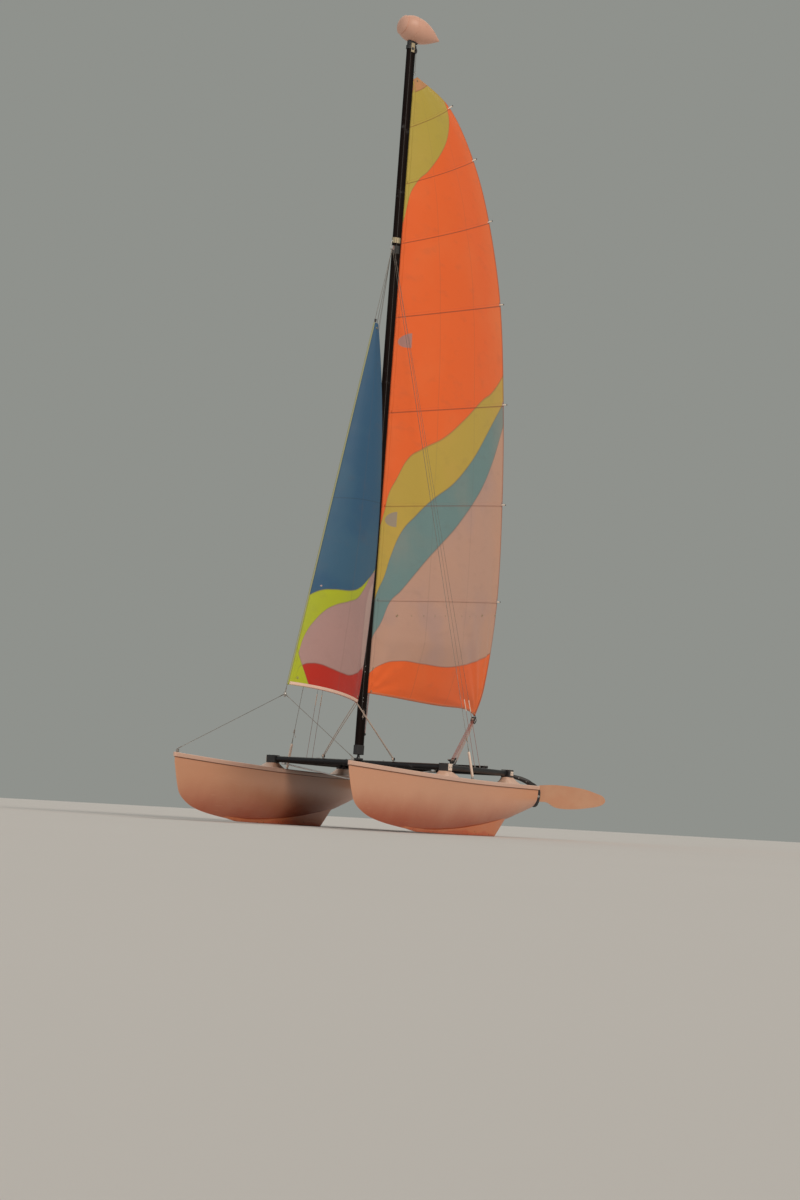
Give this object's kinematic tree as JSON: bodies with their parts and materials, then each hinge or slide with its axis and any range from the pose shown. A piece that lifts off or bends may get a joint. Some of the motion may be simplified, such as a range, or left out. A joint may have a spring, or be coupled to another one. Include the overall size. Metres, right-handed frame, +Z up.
{
  "type": "sailing catamaran",
  "caption": "Beach sailing catamaran: asymmetric cream hulls, black frame with mesh trampoline, rotating mast, colour-blocked mainsail and jib, kick-up rudders raised.",
  "frame": {"origin": "centre of the footprint on the floor the keels stand on", "axes": "+X towards the bows, +Y to port, +Z up"},
  "size_m": [5.5376, 3.426, 9.2162],
  "materials": {
    "gelcoat": "glossy cream gelcoat, sun-warmed and slightly chalked",
    "black_alloy": "black anodised tube",
    "black_moulding": "matt black casting",
    "steel": "brushed stainless steel",
    "mesh_cloth": "black open-weave mesh",
    "white_plastic": "off-white moulded plastic",
    "main_sailcloth": "woven polyester sailcloth in orange, yellow, teal and pale pink panels",
    "jib_sailcloth": "woven polyester sailcloth in blue, neon yellow, lilac and orange panels"
  },
  "bodies": {
    "root": {"port_hull": "gelcoat", "port_deck": "gelcoat", "port_front_pylon": "gelcoat", "port_rear_pylon": "gelcoat", "port_front_casting": "black_moulding", "port_rear_casting": "black_moulding", "port_gudgeons": "black_moulding", "port_side_rail": "black_alloy", "port_bow_plate": "steel", "port_bridle": "steel", "port_chainplate": "steel", "port_shroud": "steel", "port_shroud_sleeve": "white_plastic", "starboard_hull": "gelcoat", "starboard_deck": "gelcoat", "starboard_front_pylon": "gelcoat", "starboard_rear_pylon": "gelcoat", "starboard_front_casting": "black_moulding", "starboard_rear_casting": "black_moulding", "starboard_gudgeons": "black_moulding", "starboard_side_rail": "black_alloy", "starboard_bow_plate": "steel", "starboard_bridle": "steel", "starboard_chainplate": "steel", "starboard_shroud": "steel", "starboard_shroud_sleeve": "white_plastic", "front_crossbar": "black_alloy", "rear_crossbar": "black_alloy", "traveller_track": "black_alloy", "mast_step": "black_moulding", "traveller_car": "black_moulding", "mainsheet_lower_block": "black_moulding", "dolphin_striker": "steel", "forestay": "steel", "bridle_plate": "steel", "stays_shackle": "steel", "trampoline": "mesh_cloth"},
    "mast": {"mast": "black_alloy", "masthead_bracket": "black_moulding", "masthead_float": "white_plastic", "hounds_tang": "steel"},
    "mainsail": {"mainsail": "main_sailcloth", "mainsheet_upper_block": "black_moulding"},
    "jib": {"jib": "jib_sailcloth"},
    "port_rudder_head": {"port_rudder_head": "black_moulding"},
    "starboard_rudder_head": {"starboard_rudder_head": "black_moulding"},
    "port_rudder_blade": {"port_rudder_blade": "gelcoat"},
    "starboard_rudder_blade": {"starboard_rudder_blade": "gelcoat"},
    "tiller_tie_bar": {"tiller_tie_bar": "black_alloy", "tiller_extension": "black_alloy"}
  },
  "joints": [
    {"name": "mainsail_swing", "type": "hinge", "parent": "root", "child": "mainsail", "pos_m": [0.30676, -0.13497, 0.8], "axis": [-0.0436, 0, 0.999], "range_deg": [-34, 66]},
    {"name": "mast_rotation", "type": "hinge", "parent": "root", "child": "mast", "pos_m": [0.30676, -0.13497, 0.8], "axis": [-0.0436, 0, 0.999], "range_deg": [-34, 66]},
    {"name": "jib_swing", "type": "hinge", "parent": "root", "child": "jib", "pos_m": [2.27676, -0.13497, 1.36], "axis": [-0.3796, 0, 0.9252], "range_deg": [-48, 72]},
    {"name": "port_steer", "type": "hinge", "parent": "root", "child": "port_rudder_head", "pos_m": [-2.31324, 0.93503, 0.47], "axis": [0, 0, 1], "range_deg": [0, 120]},
    {"name": "starboard_steer", "type": "hinge", "parent": "root", "child": "starboard_rudder_head", "pos_m": [-2.31324, -1.20497, 0.47], "axis": [0, 0, 1], "range_deg": [0, 120]},
    {"name": "tie_bar_pivot", "type": "hinge", "parent": "port_rudder_head", "child": "tiller_tie_bar", "pos_m": [-2.03724, 0.45698, 0.796], "axis": [0, 0, 1], "range_deg": [-120, 0]},
    {"name": "port_kick", "type": "hinge", "parent": "port_rudder_head", "child": "port_rudder_blade", "pos_m": [-2.36074, 1.0173, 0.49], "axis": [-0.866, -0.5, 0], "range_deg": [0, 90]},
    {"name": "starboard_kick", "type": "hinge", "parent": "starboard_rudder_head", "child": "starboard_rudder_blade", "pos_m": [-2.36074, -1.1227, 0.49], "axis": [-0.866, -0.5, 0], "range_deg": [0, 90]}
  ],
  "couplings": [
    {"joint": "mast_rotation", "follows": "mainsail_swing", "ratio": 1},
    {"joint": "starboard_steer", "follows": "port_steer", "ratio": 1},
    {"joint": "tie_bar_pivot", "follows": "port_steer", "ratio": -1}
  ]
}
